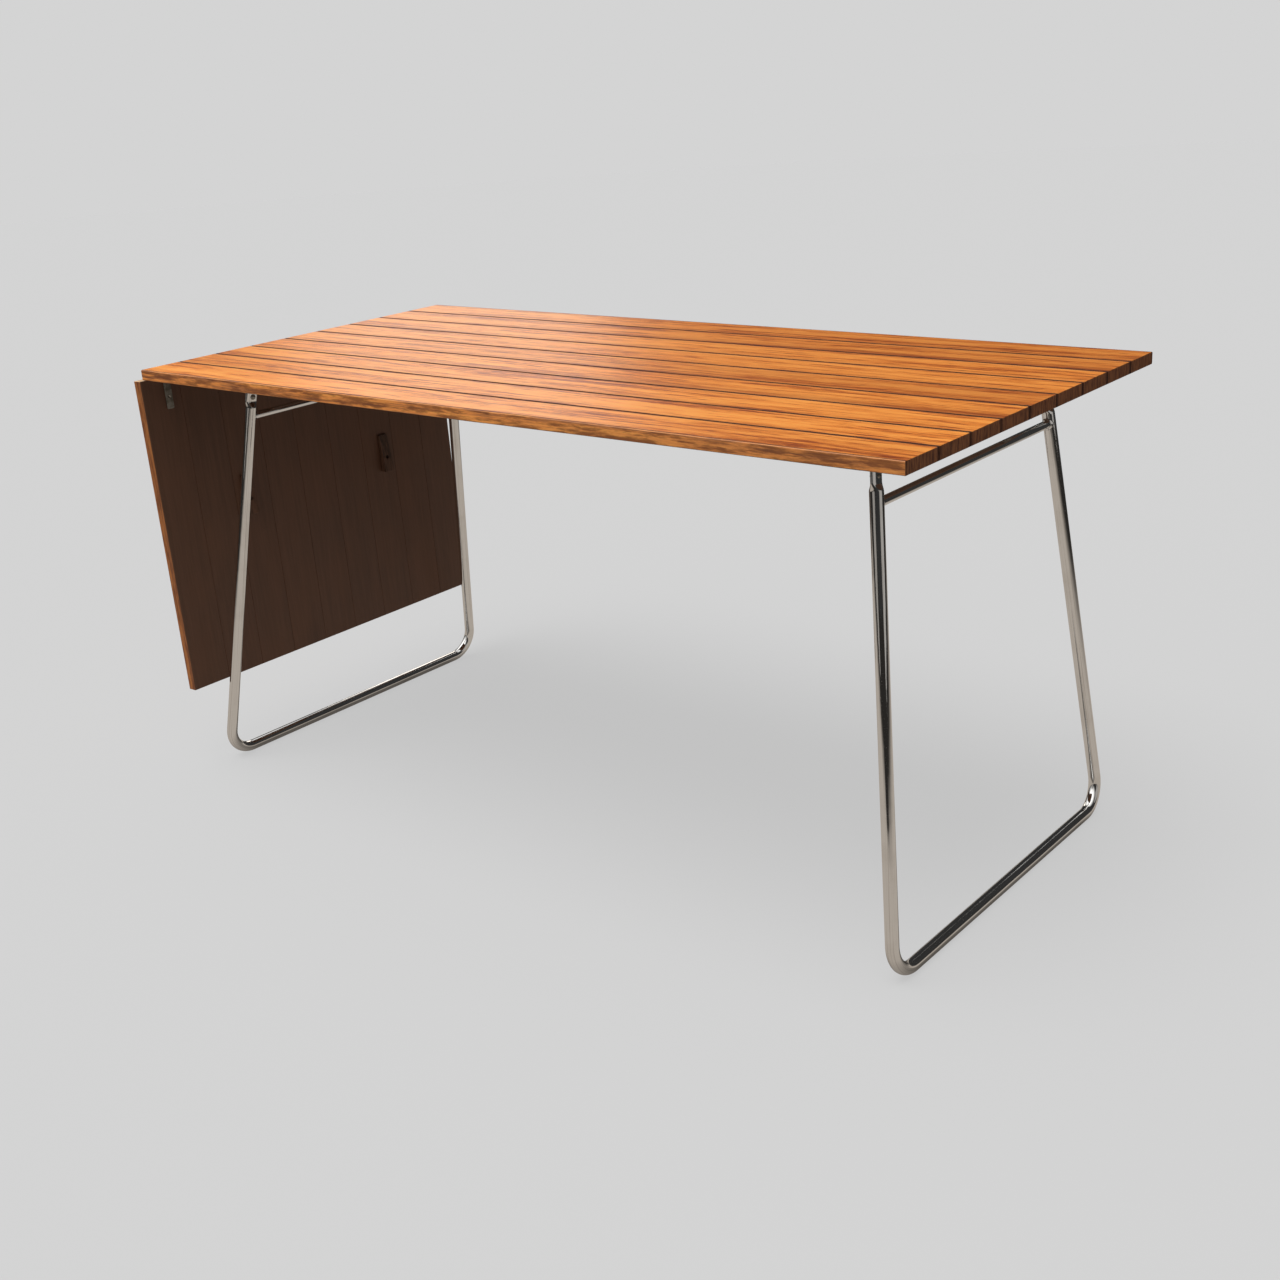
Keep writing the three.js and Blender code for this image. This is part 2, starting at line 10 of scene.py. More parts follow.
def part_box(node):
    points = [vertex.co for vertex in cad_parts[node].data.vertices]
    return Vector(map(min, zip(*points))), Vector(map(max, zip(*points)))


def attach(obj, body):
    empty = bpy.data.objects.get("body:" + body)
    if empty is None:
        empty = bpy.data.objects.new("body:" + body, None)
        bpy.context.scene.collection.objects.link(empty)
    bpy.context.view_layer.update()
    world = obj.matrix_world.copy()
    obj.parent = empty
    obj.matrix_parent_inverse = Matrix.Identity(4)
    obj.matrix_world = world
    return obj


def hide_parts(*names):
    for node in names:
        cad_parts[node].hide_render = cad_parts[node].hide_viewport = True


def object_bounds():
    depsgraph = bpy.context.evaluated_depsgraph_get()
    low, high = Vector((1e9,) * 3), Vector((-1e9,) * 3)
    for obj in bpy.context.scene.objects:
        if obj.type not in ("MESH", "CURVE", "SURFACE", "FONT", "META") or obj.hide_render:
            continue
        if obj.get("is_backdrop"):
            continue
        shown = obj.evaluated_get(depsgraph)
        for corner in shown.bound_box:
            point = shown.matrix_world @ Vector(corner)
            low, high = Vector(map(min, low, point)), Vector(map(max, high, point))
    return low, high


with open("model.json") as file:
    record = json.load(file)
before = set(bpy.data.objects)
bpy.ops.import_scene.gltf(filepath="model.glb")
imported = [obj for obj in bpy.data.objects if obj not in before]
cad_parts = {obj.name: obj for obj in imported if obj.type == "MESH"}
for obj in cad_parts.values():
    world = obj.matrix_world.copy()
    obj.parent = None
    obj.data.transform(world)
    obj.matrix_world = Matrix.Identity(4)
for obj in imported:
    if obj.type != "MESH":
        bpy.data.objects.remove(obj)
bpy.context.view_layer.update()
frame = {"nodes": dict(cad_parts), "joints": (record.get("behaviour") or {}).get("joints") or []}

# ---- Staves of the top ----
# Nine boards of an oily orange-brown hardwood, planed and glued edge to edge along the table.
# Each has its edges eased by hand, so a thin dark line shows at every joint, and the outer
# edges are eased more and carry a painted pale highlight.
MM = 0.001
STAVE_COUNT = 9
JOINT_EASE = 1.3 * MM
UNDER_EASE = 0.35 * MM
OUTER_EASE = 2.0 * MM
END_EASE = 0.9 * MM
CORNER_STEPS = 5
TABLE_FRAME = Matrix.Identity(4)
ALONG_X = Matrix(((0, 0, 1, 0), (1, 0, 0, 0), (0, 1, 0, 0), (0, 0, 0, 1)))
SHARP = 0.02 * MM
# How each board of the top was picked, from the near edge to the far one: how light it is at
# its leaf end and at its far end, and how dark the band along its near edge is at each end.
TOP_BOARDS = [
    ((1.30, 1.03), (0.05, 0.10)),
    ((1.10, 1.18), (0.30, 0.10)),
    ((1.12, 1.14), (0.45, 0.10)),
    ((1.18, 1.06), (0.45, 1.00)),
    ((1.08, 0.90), (0.25, 0.35)),
    ((1.07, 1.07), (0.05, 0.15)),
    ((1.10, 1.05), (0.80, 0.10)),
    ((1.10, 0.86), (0.10, 0.80)),
    ((1.06, 0.84), (0.15, 0.10)),
]


def paint(code):
    """A colour from its six-figure code, as the shaders want it."""
    shares = [int(code[i : i + 2], 16) / 255 for i in (0, 2, 4)]
    return tuple(s / 12.92 if s < 0.04045 else ((s + 0.055) / 1.055) ** 2.4 for s in shares) + (1.0,)


def corners_in(node, place):
    """A CAD node's lowest and highest corners in the frame that it is built in."""
    back = place.inverted()
    spots = [back @ vertex.co for vertex in frame["nodes"][node].data.vertices]
    return Vector(map(min, *spots)), Vector(map(max, *spots))


def rounded(corners, radii, inset=0.0):
    """A convex outline, anticlockwise, drawn in by inset all round and rounded at each corner."""
    points = []
    for i, corner in enumerate(corners):
        here = Vector(corner)
        into = (here - Vector(corners[i - 1])).normalized()
        out = (Vector(corners[(i + 1) % len(corners)]) - here).normalized()
        first, last = Vector((-into.y, into.x)), Vector((-out.y, out.x))
        middle = (first + last) / (1 + first.dot(last))
        radius = max(radii[i] - inset, SHARP)
        centre = here + middle * (inset + radius)
        for k in range(CORNER_STEPS + 1):
            points.append(centre - first.slerp(last, k / CORNER_STEPS) * radius)
    return points


def loft(loops, closed=False):
    """A closed body through loops of equally many points, capped at both ends or joined up."""
    body = bmesh.new()
    rings = [[body.verts.new(point) for point in loop] for loop in loops]
    count = len(rings[0])
    pairs = list(zip(rings, rings[1:])) + ([(rings[-1], rings[0])] if closed else [])
    for low, high in pairs:
        for i in range(count):
            j = (i + 1) % count
            body.faces.new((low[i], low[j], high[j], high[i]))
    if not closed:
        body.faces.new(rings[0])
        body.faces.new(rings[-1])
    bmesh.ops.recalc_face_normals(body, faces=body.faces)
    return body


def eased_prism(corners, radii, start, end, ease, turn):
    """An outline drawn out from start to end, with its end edges eased too."""
    loops = []
    for k in range(2 * CORNER_STEPS + 2):
        step = min(k, 2 * CORNER_STEPS + 1 - k) / CORNER_STEPS * math.pi / 2
        depth = ease * (1 - math.cos(step))
        at = start + depth if k <= CORNER_STEPS else end - depth
        outline = rounded(corners, radii, ease * (1 - math.sin(step)))
        loops.append([turn @ Vector((p.x, p.y, at)) for p in outline])
    return loft(loops)


def rectangle(low_u, low_v, high_u, high_v):
    return [(low_u, low_v), (high_u, low_v), (high_u, high_v), (low_u, high_v)]


def shown(name, body, finish, place, rides_on, stands_for):
    """Makes the piece, sets it in its place, hangs it on the body it rides on and hides the CAD parts it
    stands for.
    """
    mesh = bpy.data.meshes.new(name)
    body.to_mesh(mesh)
    body.free()
    mesh.polygons.foreach_set("use_smooth", [True] * len(mesh.polygons))
    mesh.materials.append(finish)
    piece = bpy.data.objects.new(name, mesh)
    bpy.context.scene.collection.objects.link(piece)
    piece.matrix_world = place
    soften = piece.modifiers.new("even_shading", "WEIGHTED_NORMAL")
    soften.weight = 100
    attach(piece, rides_on)
    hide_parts(*stands_for)
    return piece


class Wire:
    """A shader socket. Arithmetic on it adds Math nodes to its finish."""

    def __init__(self, finish, socket):
        self.finish = finish
        self.socket = socket

    def math(self, operation, *terms):
        settings = {"operation": operation}
        return self.finish.node("ShaderNodeMath", settings, dict(enumerate(terms)))

    def __add__(self, other):
        return self.math("ADD", self, other)

    def __sub__(self, other):
        return self.math("SUBTRACT", self, other)

    def __rsub__(self, other):
        return self.math("SUBTRACT", other, self)

    def __mul__(self, other):
        return self.math("MULTIPLY", self, other)

    def __truediv__(self, other):
        return self.math("DIVIDE", self, other)

    def __pow__(self, other):
        return self.math("POWER", self, other)

    def __abs__(self):
        return self.math("ABSOLUTE", self)

    __radd__ = __add__
    __rmul__ = __mul__

    def rises(self, low, high):
        """0 below low, 1 above high and smooth between them."""
        settings = {"interpolation_type": "SMOOTHSTEP"}
        limits = {"Value": self, "From Min": low, "From Max": high}
        return self.finish.node("ShaderNodeMapRange", settings, limits)

    def part(self, name):
        """Another output of the same node."""
        return Wire(self.finish, self.socket.node.outputs[name])


class Finish:
    """A material, or a world, whose nodes are added one by one."""

    def __init__(self, owner):
        self.owner = owner
        owner.use_nodes = True
        self.tree = owner.node_tree
        self.tree.nodes.clear()

    def node(self, kind, settings=None, inputs=None, output=0):
        made = self.tree.nodes.new(kind)
        for name, value in (settings or {}).items():
            if name == "stops":
                while len(made.color_ramp.elements) < len(value):
                    made.color_ramp.elements.new(1.0)
                for element, (at, colour) in zip(made.color_ramp.elements, value):
                    element.position, element.color = at, colour
            else:
                setattr(made, name, value)
        for name, value in (inputs or {}).items():
            if isinstance(value, Wire):
                self.tree.links.new(value.socket, made.inputs[name])
            else:
                made.inputs[name].default_value = value
        return Wire(self, made.outputs[output])

    def vector(self, operation, first, second):
        settings = {"operation": operation}
        return self.node("ShaderNodeVectorMath", settings, {0: first, 1: second})

    def mix(self, share, first, second, blend="MIX"):
        settings = {"data_type": "RGBA", "blend_type": blend}
        return self.node("ShaderNodeMix", settings, {0: share, 6: first, 7: second}, 2)

    def noise(self, where, across, along=None, detail=3.0, ragged=0.5, deep=None):
        """Noise whose spots have these sizes in metres, longer along X or Z if asked."""
        size = (along or across, across, deep or across)
        stretched = self.vector("DIVIDE", where, size)
        inputs = {"Vector": stretched, "Scale": 1.0, "Detail": detail, "Roughness": ragged}
        return self.node("ShaderNodeTexNoise", {}, inputs)

    def surface(self, shader, inputs):
        made = self.node(shader, {}, inputs)
        kind = "World" if isinstance(self.owner, bpy.types.World) else "Material"
        output = self.tree.nodes.new("ShaderNodeOutput" + kind)
        self.tree.links.new(made.socket, output.inputs["Surface"])
        return self.owner


def grain(finish, where, pale, mid, dark):
    """Long-grained wood: broad bands, growth lines and fine streaks, as a colour and a height."""
    sway = finish.noise(where, 0.09, 0.7, 1.0) - 0.5
    push = finish.node("ShaderNodeCombineXYZ", {}, {"Y": sway * 0.022, "Z": sway * 0.022})
    swayed = finish.vector("ADD", where, push)
    broad = finish.noise(swayed, 0.021, 0.65, 2.0)
    lines = finish.noise(swayed, 0.0048, 0.13, 4.0, 0.62)
    streaks = finish.noise(swayed, 0.0020, 0.045, 4.0, 0.7)
    pores = finish.noise(swayed, 0.00055, 0.011, 2.0, 0.6).rises(0.60, 0.74)
    figure = broad * 0.26 + lines * 0.38 + streaks * 0.36
    settings = {"stops": [(0.42, dark), (0.48, mid), (0.55, pale)]}
    colour = finish.node("ShaderNodeValToRGB", settings, {"Fac": figure})
    colour = finish.mix(pores * 0.30, colour, dark)
    height = streaks * 0.5 + lines * 0.3 - pores * 0.8
    return colour, height, figure


def oiled_wood():
    finish = Finish(bpy.data.materials.new("oiled_wood"))

    def board(name):
        return finish.node("ShaderNodeAttribute", {"attribute_name": name}, {}, "Fac")

    spot = finish.node("ShaderNodeTexCoord", {}, {}, "Object")
    facing = finish.node("ShaderNodeTexCoord", {}, {}, "Normal")
    facing = finish.node("ShaderNodeSeparateXYZ", {}, {0: facing}, "X")
    at_end = abs(facing).rises(0.55, 0.85)
    at_side = abs(facing.part("Y")).rises(0.7, 0.95)
    below = (0 - facing.part("Z")).rises(0.35, 0.75)
    seed = board("seed")
    shift = finish.node("ShaderNodeCombineXYZ", {}, {"X": seed * 2.3, "Z": seed * 0.61})
    where = finish.vector("ADD", spot, shift)
    colour, height, figure = grain(
        finish, where, paint("FBA046"), paint("E37F2B"), paint("913C0E")
    )
    # Each board's own lightness, a redder cast in its darker half, and the dusky band.
    tone = board("tone") * (0.90 + finish.noise(where, 0.05, 0.35, 2.0) * 0.20)
    tone = finish.node("ShaderNodeCombineColor", {}, {0: tone, 1: tone ** 1.25, 2: tone ** 1.4})
    colour = finish.mix(1.0, colour, tone, "MULTIPLY")
    across = board("across")
    half = board("half")
    band = (0 - across / half).rises(0.05, 1.0) * board("dusk")
    band = band * (0.55 + finish.noise(where, 0.012, 0.5, 2.0).rises(0.35, 0.65) * 0.45)
    colour = finish.mix(band * 0.75, colour, paint("8A3A0C"))
    # Oil and dust lie dark in the joints, and a painted pale highlight runs along the outer edges.
    outer = (across * board("outer") / half).rises(0.955, 0.985)
    joint = abs(across / half).rises(0.893, 0.940) * (1 - abs(board("outer") * outer)) * (1 - below)
    colour = finish.mix(joint * 0.97, colour, paint("2E0E02"))
    colour = finish.mix(outer * 0.35, colour, paint("F0BC85"))
    # The side faces are painted a darker, blotchier and more saturated brown: partly the grain's figure,
    # partly painted shade.
    blotch = finish.noise(where, 0.006, 0.045, 4.0, 0.65).rises(0.40, 0.62)
    worn = at_side * (board("worn") + blotch * (0.7 - board("worn") * 0.7))
    colour = finish.mix(worn, colour, paint("5A2606"))
    colour = finish.mix(at_side, colour, (1.0, 0.90, 0.66, 1.0), "MULTIPLY")
    # End grain drinks the oil and goes dark, but the leaf's hinged end is painted pale cream: a painted
    # highlight for the light falling on it from above.
    speck = finish.noise(where, 0.0032, 0.0032, 4.0, 0.65, 0.022).rises(0.36, 0.66)
    end_colour = finish.mix(speck, paint("A0663F"), paint("633821"))
    end_colour = finish.mix(joint * 0.7, end_colour, paint("2A0D04"))
    painted_light_end_colour = finish.mix(speck, paint("EBCDA6"), paint("C79A6B"))
    end_colour = finish.mix(board("raw"), end_colour, painted_light_end_colour)
    colour = finish.mix(at_end, colour, end_colour)
    # Painted shade: the boards' undersides are coloured a dark brown, for the shade they lie in.
    dark_tone = finish.mix(figure.rises(0.36, 0.64), paint("5A3C29"), paint("694733"))
    cloud = finish.noise(where, 0.11, 0.16, 2.0).rises(0.35, 0.7)
    dark_tone = finish.mix(cloud * 0.35, dark_tone, paint("71492F"))
    colour = finish.mix(below, colour, dark_tone)
    gloss = 0.34 + finish.noise(where, 0.002, 0.06, 2.0) * 0.16 + at_end * 0.25 + below * 0.12
    gloss = gloss + joint * 0.45 + at_side * 0.2
    bump = {"Strength": 0.35, "Distance": 0.00025, "Height": height}
    return finish.surface(
        "ShaderNodeBsdfPrincipled",
        {
            "Base Color": colour,
            "Roughness": gloss,
            "IOR": 1.5,
            "Normal": finish.node("ShaderNodeBump", {}, bump),
        },
    )


OILED_WOOD = oiled_wood()


def stave(node, place, rides_on, seed, outer, lightness, dusk, raw=(0, 0), worn=0.0):
    """One board on the place of its CAD solid, with its own marks laid on its corners."""
    low, high = corners_in(node, place)
    radii = [UNDER_EASE, UNDER_EASE, JOINT_EASE, JOINT_EASE]
    if outer < 0:
        radii[0] = radii[3] = OUTER_EASE
    if outer > 0:
        radii[1] = radii[2] = OUTER_EASE
    section = rectangle(low.y, low.z, high.y, high.z)
    body = eased_prism(section, radii, low.x, high.x, END_EASE, ALONG_X)
    marks = {
        name: body.verts.layers.float.new(name)
        for name in ("seed", "half", "outer", "across", "tone", "dusk", "raw", "worn")
    }
    middle, half = (low.y + high.y) / 2, (high.y - low.y) / 2
    for vertex in body.verts:
        along = (vertex.co.x - low.x) / (high.x - low.x)
        vertex[marks["seed"]] = seed
        vertex[marks["half"]] = half
        vertex[marks["outer"]] = outer
        vertex[marks["worn"]] = worn
        vertex[marks["across"]] = vertex.co.y - middle
        vertex[marks["tone"]] = lightness[0] + (lightness[1] - lightness[0]) * along
        vertex[marks["dusk"]] = dusk[0] + (dusk[1] - dusk[0]) * along
        vertex[marks["raw"]] = raw[0] + (raw[1] - raw[0]) * along
    return shown(node.replace("stave", "board"), body, OILED_WOOD, place, rides_on, [node])


def outer_side(i):
    """-1 for the board at the near edge, 1 for the one at the far edge, 0 between them."""
    return {0: -1, STAVE_COUNT - 1: 1}.get(i, 0)


for i, (lightness, dusk) in enumerate(TOP_BOARDS):
    stave(f"top_stave_{i + 1}", TABLE_FRAME, "table", i + 1.0, outer_side(i), lightness, dusk)

# ---- Cross battens, slide rails and support bars ----
# Dark stained hardwood under the top: three battens glued across the staves, two rails cut
# through with mortises, and the two bars that slide in them to hold the raised leaf.
BATTEN_EASE = 2.6 * MM
RAIL_EASE = 1.4 * MM
STOP_LENGTH = 24 * MM
STOP_SIDE = 1.5 * MM
GROOVE_RADIUS = 12 * MM
GROOVE_DEPTH = 4 * MM
GROOVE_INSET = 24 * MM
BAR_TOP_DROP = 14 * MM  # bar's top below the underside of the top
MORTISE_PLAY = 0.5 * MM
ALONG_Y = Matrix(((1, 0, 0, 0), (0, 0, 1, 0), (0, 1, 0, 0), (0, 0, 0, 1)))
ROUND_STEPS = 48


def dark_wood(name, along_y):
    finish = Finish(bpy.data.materials.new(name))
    where = finish.node("ShaderNodeTexCoord", {}, {}, "Object")
    if along_y:
        parts = finish.node("ShaderNodeSeparateXYZ", {}, {0: where}, "X")
        swap = {"X": parts.part("Y"), "Y": parts, "Z": parts.part("Z")}
        where = finish.node("ShaderNodeCombineXYZ", {}, swap)
    colour, height, _ = grain(finish, where, paint("6A4A37"), paint("543A29"), paint("38251A"))
    rub = finish.noise(where, 0.03, 0.09, 3.0).rises(0.55, 0.75)
    colour = finish.mix(rub * 0.25, colour, paint("8A6248"))
    bump = {"Strength": 0.4, "Distance": 0.0003, "Height": height}
    return finish.surface(
        "ShaderNodeBsdfPrincipled",
        {
            "Base Color": colour,
            "Roughness": 0.52 + finish.noise(where, 0.004, 0.05, 2.0) * 0.18,
            "Normal": finish.node("ShaderNodeBump", {}, bump),
        },
    )


DARK_WOOD_ALONG = dark_wood("dark_wood_along", False)
DARK_WOOD_ACROSS = dark_wood("dark_wood_across", True)


def block(low, high):
    """A plain block, used only as a cutter."""
    body = bmesh.new()
    bmesh.ops.create_cube(body, size=1.0)
    size, middle = high - low, (high + low) / 2
    place = Matrix.Translation(middle) @ Matrix.Diagonal((*size, 1))
    bmesh.ops.transform(body, matrix=place, verts=body.verts)
    return body


def turned(profile, place=TABLE_FRAME):
    """A closed body of revolution about Z, from (radius, height) pairs that start and end at 0."""
    loops = []
    for k in range(ROUND_STEPS):
        angle = 2 * math.pi * k / ROUND_STEPS
        loops.append([Vector((r * math.cos(angle), r * math.sin(angle), h)) for r, h in profile])
    body = loft(loops, closed=True)
    bmesh.ops.remove_doubles(body, verts=body.verts, dist=1e-7)
    thin = [face for face in body.faces if face.calc_area() < 1e-14]
    bmesh.ops.delete(body, geom=thin, context="FACES_ONLY")
    bmesh.ops.recalc_face_normals(body, faces=body.faces)
    bmesh.ops.transform(body, matrix=place, verts=body.verts)
    return body


def worked(body, tools, operation="DIFFERENCE"):
    """Cuts the tools out of a body, or joins them to it."""

    def stand_in(name, source):
        mesh = bpy.data.meshes.new(name)
        source.to_mesh(mesh)
        source.free()
        made = bpy.data.objects.new(name, mesh)
        bpy.context.scene.collection.objects.link(made)
        return made

    work = stand_in("work", body)
    held = [stand_in("tool", tool) for tool in tools]
    for tool in held:
        step = work.modifiers.new("step", "BOOLEAN")
        step.operation, step.object, step.solver = operation, tool, "EXACT"
    bpy.context.view_layer.update()
    cut = bpy.data.meshes.new_from_object(work.evaluated_get(bpy.context.evaluated_depsgraph_get()))
    result = bmesh.new()
    result.from_mesh(cut)
    for made in [work, *held]:
        bpy.data.meshes.remove(made.data)
    bpy.data.meshes.remove(cut)
    return result


for place_name in ("leaf_end", "middle", "far_end"):
    node = f"batten_{place_name}"
    low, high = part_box(node)
    section = rectangle(low.x, low.z, high.x, high.z)
    radii = [BATTEN_EASE, BATTEN_EASE, SHARP, SHARP]
    body = eased_prism(section, radii, low.y, high.y, RAIL_EASE, ALONG_Y)
    shown(f"cross_{node}", body, DARK_WOOD_ACROSS, TABLE_FRAME, "table", [node])

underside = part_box("top_stave_5")[0].z
for side in ("near", "far"):
    node = f"support_bar_{side}"
    low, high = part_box(node)
    bar_top = underside - BAR_TOP_DROP
    section = rectangle(low.y, low.z, high.y, bar_top)
    body = eased_prism(section, [RAIL_EASE] * 4, low.x, high.x, RAIL_EASE, ALONG_X)
    stop_section = rectangle(low.y + STOP_SIDE, bar_top - STOP_LENGTH / 2, high.y - STOP_SIDE, high.z)
    stop_ends = (high.x - STOP_LENGTH, high.x - SHARP)
    stop = eased_prism(stop_section, [RAIL_EASE] * 4, *stop_ends, RAIL_EASE / 2, ALONG_X)
    body = worked(body, [stop], "UNION")
    groove_at = Vector((low.x + GROOVE_INSET, low.y - MORTISE_PLAY, low.z - GROOVE_RADIUS + GROOVE_DEPTH))
    width = high.y - low.y + 2 * MORTISE_PLAY
    lie_down = Matrix.Translation(groove_at) @ Matrix.Rotation(-math.pi / 2, 4, "X")
    groove = turned([(0, 0), (GROOVE_RADIUS, 0), (GROOVE_RADIUS, width), (0, width)], lie_down)
    body = worked(body, [groove])
    shown(f"slide_{node}", body, DARK_WOOD_ALONG, TABLE_FRAME, node, [node])

for node in ("front_rail", "rear_rail"):
    low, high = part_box(node)
    section = rectangle(low.x, low.z, high.x, high.z)
    body = eased_prism(section, [RAIL_EASE] * 4, low.y, high.y, RAIL_EASE, ALONG_Y)
    mortises = []
    for side in ("near", "far"):
        bar_low, bar_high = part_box(f"support_bar_{side}")
        play = Vector((0, MORTISE_PLAY, MORTISE_PLAY))
        mortise_low = Vector((low.x - RAIL_EASE, bar_low.y, bar_low.z)) - play
        mortise_high = Vector((high.x + RAIL_EASE, bar_high.y, underside - BAR_TOP_DROP)) + play
        mortises.append(block(mortise_low, mortise_high))
    body = worked(body, mortises)
    shown(f"slide_{node}", body, DARK_WOOD_ACROSS, TABLE_FRAME, "table", [node])

# ---- Leg frames ----
# One chromed steel tube each: down one leg, across the floor and up the other. The tube is
# drawn round at the bends and pressed to a flat oval at both ends, under the battens.
TUBE_RADIUS = 9.5 * MM
TUBE_WALL = 1.5 * MM
BEND_RADIUS = 45 * MM
FLAT_HALF_THICK = 4.5 * MM
FLAT_HALF_WIDE = 12 * MM
FLAT_LENGTH = 29 * MM
FLAT_TAPER = 12 * MM
END_DEPTH = 40 * MM  # how far in the open end is modelled
FOOT_EDGE_INSET = 34 * MM
HEAD_EDGE_INSET = 119 * MM
PLATE_THICK = 3 * MM
LEG_END_GAP = 2 * MM  # from the plate down to the tube's end
FRAME_INSETS = {"leaf_end": (28 * MM, 146 * MM), "far_end": (44 * MM, 113 * MM)}
TUBE_SIDES = 48
BEND_STEPS = 20
TAPER_STEPS = 8

top_low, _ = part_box("top_stave_1")
_, top_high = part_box("top_stave_9")


def chrome():
    finish = Finish(bpy.data.materials.new("chromed_tube"))
    where = finish.node("ShaderNodeTexCoord", {}, {}, "Object")
    haze = finish.noise(where, 0.05, 0.05, 3.0).rises(0.45, 0.75)
    pits = finish.noise(where, 0.0011, 0.0011, 1.0).rises(0.70, 0.78)
    marks = [
        finish.node("ShaderNodeAttribute", {"attribute_name": name}, {}, "Fac")
        for name in ("run", "round_u", "round_v")
    ]
    # Painted reflection: darker streaks laid along the tube by its angle round it, standing for the dark
    # streaks that it reflects.
    drawn = finish.node("ShaderNodeCombineXYZ", {}, dict(zip("XYZ", marks)))
    drawn = finish.noise(drawn, 0.16, 0.30, 3.0, 0.6)
    ripple = finish.noise(where, 0.035, 0.035, 1.0)
    colour = finish.mix(haze * 0.4, paint("E9E8E6"), paint("D2CFC9"))
    colour = finish.mix(pits * 0.5, colour, paint("6E6259"))
    colour = finish.mix(drawn.rises(0.52, 0.66) * 0.35, colour, paint("8D857B"))
    bump = {"Strength": 0.3, "Distance": 0.0006, "Height": ripple + drawn * 0.35 - pits * 0.05}
    return finish.surface(
        "ShaderNodeBsdfPrincipled",
        {
            "Base Color": colour,
            "Metallic": 1.0,
            "Roughness": 0.05 + haze * 0.06 + pits * 0.3,
            "Normal": finish.node("ShaderNodeBump", {}, bump),
        },
    )


CHROME = chrome()


class LegFrame:
    """Where one leg frame runs. It is drawn in its own plane: y across, z up the slope."""

    def __init__(self, end):
        foot_inset, head_inset = FRAME_INSETS[end]
        self.way = -1 if end == "leaf_end" else 1
        end_x = top_low.x if self.way < 0 else top_high.x
        self.foot_x = end_x - self.way * foot_inset
        self.head_x = end_x - self.way * head_inset
        rise = underside - TUBE_RADIUS
        self.rake = math.atan2(abs(self.foot_x - self.head_x), rise)
        self.foot_y = top_high.y - FOOT_EDGE_INSET
        head_y = top_high.y - HEAD_EDGE_INSET
        self.slant = math.atan2(self.foot_y - head_y, rise / math.cos(self.rake))
        self.up = Vector((0, -math.sin(self.slant), math.cos(self.slant)))
        self.outward = Vector((0, math.cos(self.slant), math.sin(self.slant)))
        lowest = Vector((self.foot_x, 0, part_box(f"leg_frame_{end}")[0].z + TUBE_RADIUS))
        self.place = Matrix.Translation(lowest) @ Matrix.Rotation(-self.way * self.rake, 4, "Y")

    def height(self, z):
        """A height above the floor, as a height in the frame's own plane."""
        return (z - TUBE_RADIUS) / math.cos(self.rake)

    def on_leg(self, z):
        """Where the far leg's centre line passes that height."""
        return Vector((0, self.foot_y, 0)) + self.up * (self.height(z) / math.cos(self.slant))


def tube_ring(point, outward, half_wide, half_thick):
    """One ring of the tube, round or oval."""
    ring = []
    for k in range(TUBE_SIDES):
        angle = 2 * math.pi * k / TUBE_SIDES
        wide, thick = half_wide * math.cos(angle), half_thick * math.sin(angle)
        ring.append(point + outward * wide + Vector((thick, 0, 0)))
    return ring


def pressed_ring(line, leg_end, distance, inset=0.0):
    share = min(max((distance - FLAT_LENGTH) / FLAT_TAPER, 0.0), 1.0)
    share = share * share * (3 - 2 * share)
    half_wide = FLAT_HALF_WIDE + (TUBE_RADIUS - FLAT_HALF_WIDE) * share - inset
    half_thick = FLAT_HALF_THICK + (TUBE_RADIUS - FLAT_HALF_THICK) * share - inset
    return tube_ring(leg_end - line.up * distance, line.outward, half_wide, half_thick)


def bent_tube(line, leg_end):
    """Rings from inside one open end, round the whole frame, to inside the other end."""
    half = [pressed_ring(line, leg_end, END_DEPTH, TUBE_WALL + SHARP)]
    half.append(pressed_ring(line, leg_end, FLAT_LENGTH, TUBE_WALL))
    half.append(pressed_ring(line, leg_end, 0.0, TUBE_WALL))
    half.append(pressed_ring(line, leg_end, 0.0))
    for k in range(TAPER_STEPS + 1):
        half.append(pressed_ring(line, leg_end, FLAT_LENGTH + FLAT_TAPER * k / TAPER_STEPS))
    corner = math.pi / 2 + line.slant
    centre = Vector((0, line.foot_y - BEND_RADIUS * math.tan(corner / 2), BEND_RADIUS))
    for k in range(BEND_STEPS + 1):
        angle = line.slant - corner * k / BEND_STEPS
        out = Vector((0, math.cos(angle), math.sin(angle)))
        half.append(tube_ring(centre + out * BEND_RADIUS, out, TUBE_RADIUS, TUBE_RADIUS))
    mirrored = [[Vector((p.x, -p.y, p.z)) for p in ring] for ring in reversed(half)]
    body = loft([[line.place @ point for point in ring] for ring in half + mirrored])
    # Where each corner lies round the tube and how far along it, for the painted reflection streaks.
    marks = [body.verts.layers.float.new(name) for name in ("round_u", "round_v", "run")]
    body.verts.ensure_lookup_table()
    run = 0.0
    middles = [sum(ring, Vector()) / len(ring) for ring in half + mirrored]
    for i, middle in enumerate(middles):
        run += (middle - middles[i - 1]).length if i else 0.0
        for k in range(TUBE_SIDES):
            angle = 2 * math.pi * k / TUBE_SIDES
            vertex = body.verts[i * TUBE_SIDES + k]
            for mark, value in zip(marks, (math.cos(angle), math.sin(angle), run)):
                vertex[mark] = value
    return body


LINES = {end: LegFrame(end) for end in FRAME_INSETS}
for end, line in LINES.items():
    node = f"leg_frame_{end}"
    plate_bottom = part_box(f"leg_plate_{end}_far")[1].z - PLATE_THICK
    leg_end = line.on_leg(plate_bottom - LEG_END_GAP)
    body = bent_tube(line, leg_end)
    shown(f"bent_tube_{end}", body, CHROME, TABLE_FRAME, "table", [node])

